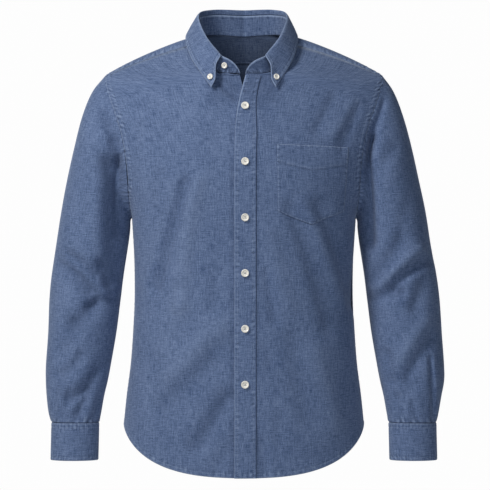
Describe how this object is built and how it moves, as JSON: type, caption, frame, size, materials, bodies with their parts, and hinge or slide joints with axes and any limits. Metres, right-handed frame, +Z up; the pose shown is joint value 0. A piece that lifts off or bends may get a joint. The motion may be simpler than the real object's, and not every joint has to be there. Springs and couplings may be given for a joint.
{
  "type": "oxford shirt",
  "caption": "Long-sleeved button-down shirt with a placket, chest pocket, buttoned cuffs and curved shirt-tail hem, filled out as if worn, with open neck, cuffs and hem.",
  "frame": {"origin": "middle of the neck opening, level with the shoulder line beside the collar, where the wearer's neck carries the shirt", "axes": "+Z up along the body, the front faces -Y, the wearer's left side is +X"},
  "size_m": [0.6774, 0.243, 0.7933],
  "materials": {
    "cloth": "matt blue chambray weave, pale weft over darker warp",
    "button": "cream, lightly polished"
  },
  "bodies": {
    "root": {"front_left": "cloth", "front_right": "cloth", "back": "cloth", "yoke": "cloth", "collar_stand": "cloth", "collar_leaf": "cloth", "front_placket": "cloth", "chest_pocket": "cloth", "sleeve_left": "cloth", "sleeve_right": "cloth", "sleeve_placket_left": "cloth", "sleeve_placket_right": "cloth", "cuff_left": "cloth", "cuff_right": "cloth", "button_front_1": "button", "button_front_2": "button", "button_front_3": "button", "button_front_4": "button", "button_front_5": "button", "button_front_6": "button", "button_collar_stand": "button", "button_collar_left": "button", "button_collar_right": "button", "button_cuff_left": "button", "button_cuff_right": "button", "button_slit_left": "button", "button_slit_right": "button"}
  },
  "joints": []
}
